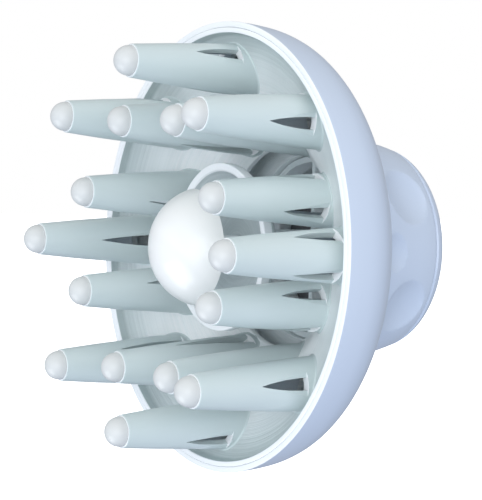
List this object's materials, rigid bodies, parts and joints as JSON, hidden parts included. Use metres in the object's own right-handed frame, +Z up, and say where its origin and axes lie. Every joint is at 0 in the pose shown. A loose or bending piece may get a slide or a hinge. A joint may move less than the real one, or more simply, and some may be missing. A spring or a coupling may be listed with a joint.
{
  "type": "dryer diffuser",
  "caption": "Round bowl-shaped hair dryer diffuser with two rings of slotted hollow fingers, round finger caps, a domed baffle and a grip collar turning on a nozzle coupling.",
  "frame": {"origin": "on the bowl's axis, in the plane of the coupling's rear face, where the dryer's nozzle goes in", "axes": "+Y backwards along the bowl's axis towards the hair dryer, the fingers point to -Y; +Z up through the first finger of the outer ring; +X to the right when seen from the front"},
  "size_m": [0.15, 0.1123, 0.15],
  "materials": {
    "white_shell": "smooth satin white plastic with a cool cast",
    "pale_moulding": "pale translucent-looking white plastic with fine turning lines in the dish",
    "white_gloss": "smooth bright white plastic",
    "grip_rubber": "soft matt elastomer",
    "screw_steel": "plain steel"
  },
  "bodies": {
    "coupling": {"coupling_ring": "white_shell", "grip_liner": "grip_rubber"},
    "head": {"baffle_cup": "white_gloss", "baffle_spider": "pale_moulding", "bowl_shell": "white_shell", "centre_dome": "white_gloss", "centre_screw": "screw_steel", "finger_dish": "pale_moulding", "grip_collar": "white_shell", "inner_cap_1": "white_gloss", "inner_cap_2": "white_gloss", "inner_cap_3": "white_gloss", "inner_cap_4": "white_gloss", "inner_cap_5": "white_gloss", "inner_cap_6": "white_gloss", "inner_cap_7": "white_gloss", "inner_cap_8": "white_gloss", "inner_finger_1": "pale_moulding", "inner_finger_2": "pale_moulding", "inner_finger_3": "pale_moulding", "inner_finger_4": "pale_moulding", "inner_finger_5": "pale_moulding", "inner_finger_6": "pale_moulding", "inner_finger_7": "pale_moulding", "inner_finger_8": "pale_moulding", "outer_cap_1": "white_gloss", "outer_cap_2": "white_gloss", "outer_cap_3": "white_gloss", "outer_cap_4": "white_gloss", "outer_cap_5": "white_gloss", "outer_cap_6": "white_gloss", "outer_cap_7": "white_gloss", "outer_cap_8": "white_gloss", "outer_finger_1": "pale_moulding", "outer_finger_2": "pale_moulding", "outer_finger_3": "pale_moulding", "outer_finger_4": "pale_moulding", "outer_finger_5": "pale_moulding", "outer_finger_6": "pale_moulding", "outer_finger_7": "pale_moulding", "outer_finger_8": "pale_moulding"}
  },
  "joints": [
    {"name": "coupling_swivel", "type": "hinge", "parent": "coupling", "child": "head", "pos_m": [0, 0, 0], "axis": [0, 1, 0], "continuous": true}
  ]
}
